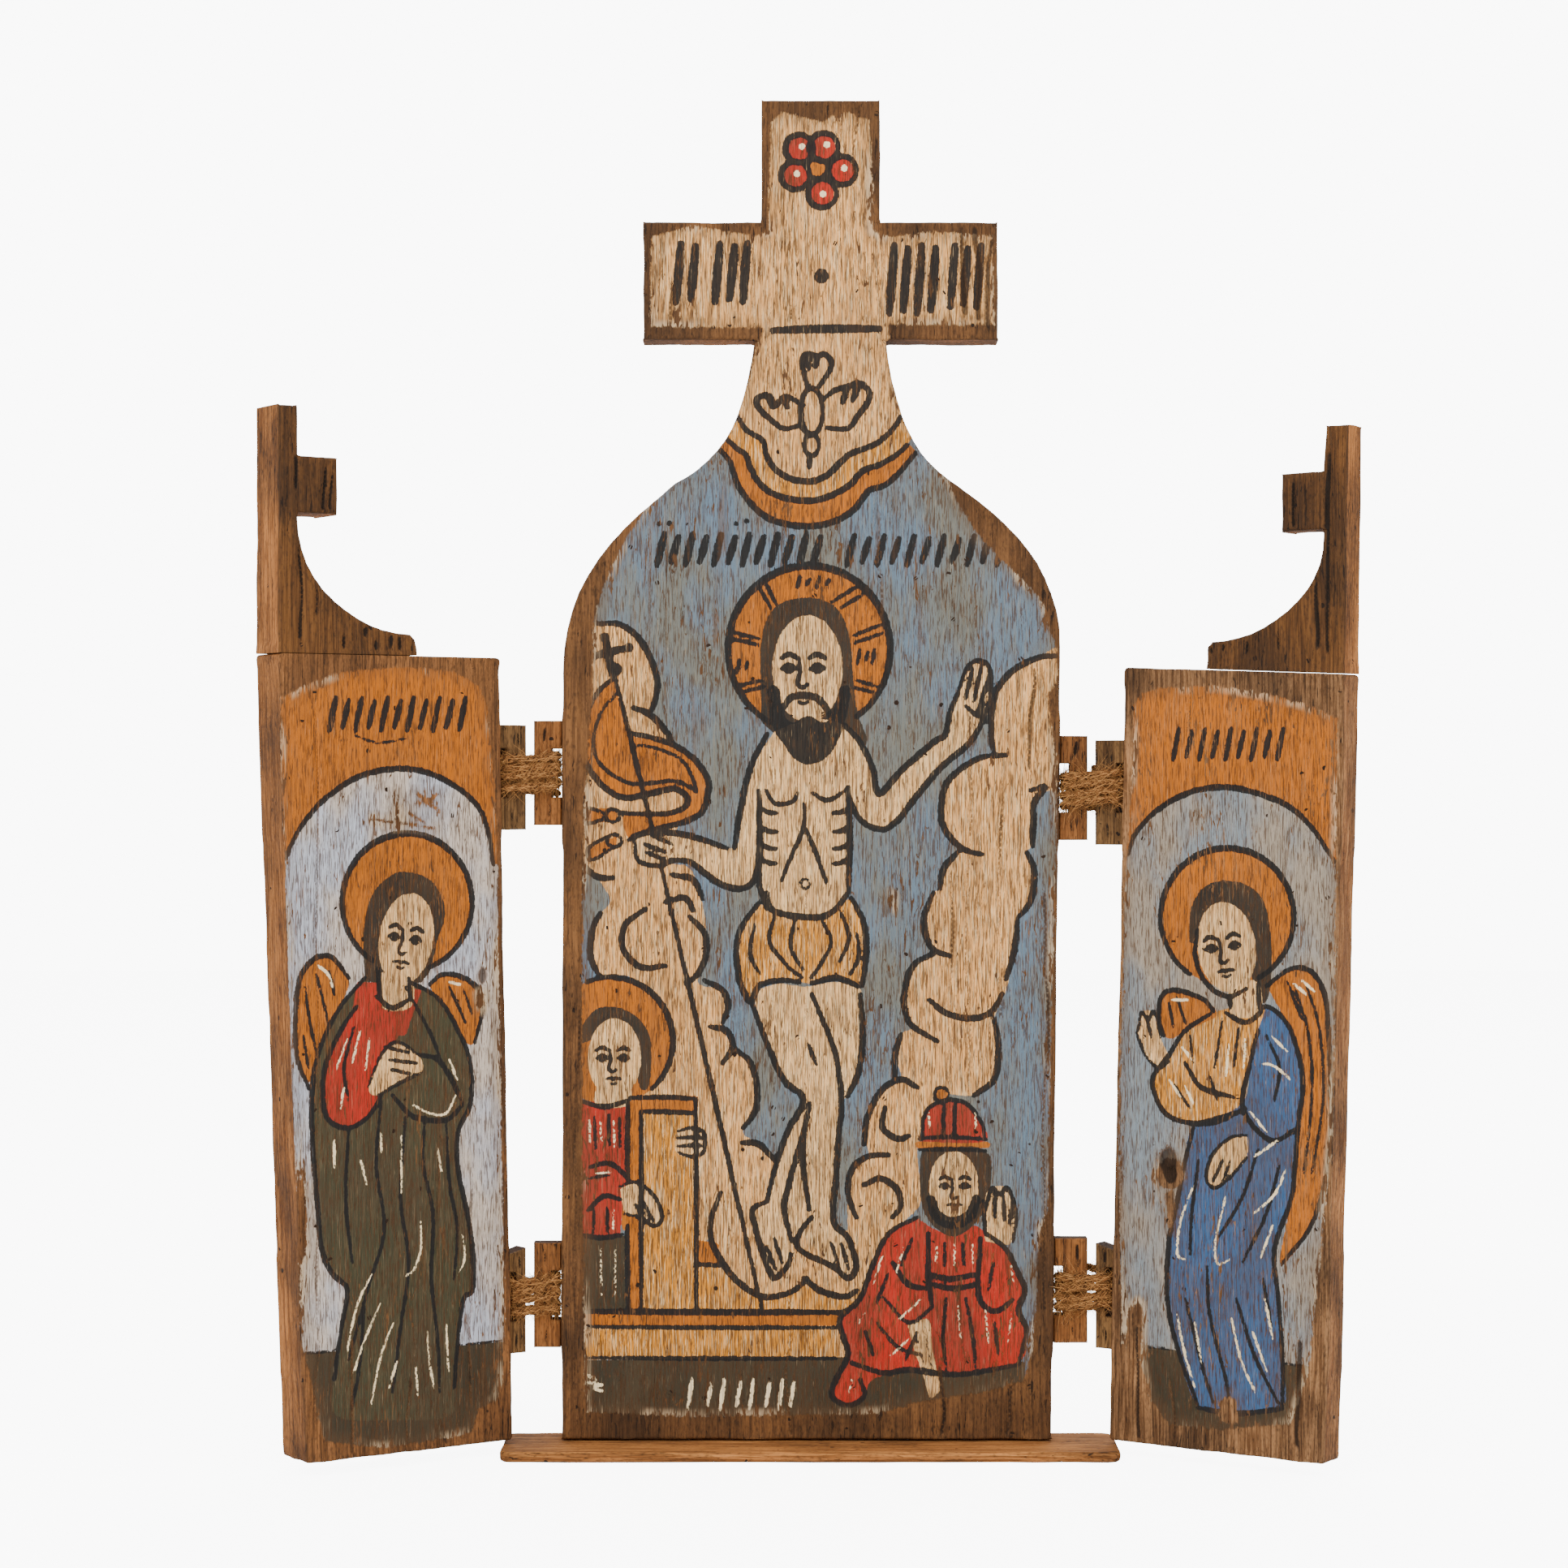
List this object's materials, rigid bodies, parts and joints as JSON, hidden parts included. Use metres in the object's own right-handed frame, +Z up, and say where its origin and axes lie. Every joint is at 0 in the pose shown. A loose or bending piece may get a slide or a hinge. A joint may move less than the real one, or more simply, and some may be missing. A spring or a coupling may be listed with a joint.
{
  "type": "triptych altarpiece",
  "caption": "Painted wooden triptych altarpiece: a cross-topped central board on a thin base, with side wings on twine-lashed wooden hinges, each under a half-cross crest.",
  "frame": {"origin": "on the underside of the base board, half way between its front and back and under the middle of the central board", "axes": "+Z up along the central board, +Y to the back, +X to the viewer's right; the painted fronts face -Y"},
  "size_m": [0.4748, 0.0885, 0.6],
  "materials": {
    "painted_wood": "matt tempera worn through to the wood",
    "bare_wood": "dry weathered bare wood, brown stained",
    "base_wood": "worn brown stained board",
    "hinge_wood": "split dry wood, end grain dark",
    "jute_twine": "rough hairy jute twine"
  },
  "bodies": {
    "panel": {"central_panel": "painted_wood", "base_board": "base_wood", "left_upper_panel_bar": "hinge_wood", "left_lower_panel_bar": "hinge_wood", "right_upper_panel_bar": "hinge_wood", "right_lower_panel_bar": "hinge_wood", "left_upper_lashing": "jute_twine", "left_lower_lashing": "jute_twine", "right_upper_lashing": "jute_twine", "right_lower_lashing": "jute_twine"},
    "left_wing": {"left_wing_board": "painted_wood", "left_wing_crest": "bare_wood", "left_upper_wing_bar": "hinge_wood", "left_lower_wing_bar": "hinge_wood"},
    "right_wing": {"right_wing_board": "painted_wood", "right_wing_crest": "bare_wood", "right_upper_wing_bar": "hinge_wood", "right_lower_wing_bar": "hinge_wood"}
  },
  "joints": [
    {"name": "left_wing_hinge", "type": "hinge", "parent": "panel", "child": "left_wing", "pos_m": [-0.124, 0.00125, 0.185], "axis": [0, 0, 1], "range_deg": [-33, 146], "deforming": ["left_upper_lashing", "left_lower_lashing"]},
    {"name": "right_wing_hinge", "type": "hinge", "parent": "panel", "child": "right_wing", "pos_m": [0.12324, 0.00125, 0.185], "axis": [0, 0, -1], "range_deg": [-33, 146], "deforming": ["right_upper_lashing", "right_lower_lashing"]}
  ]
}
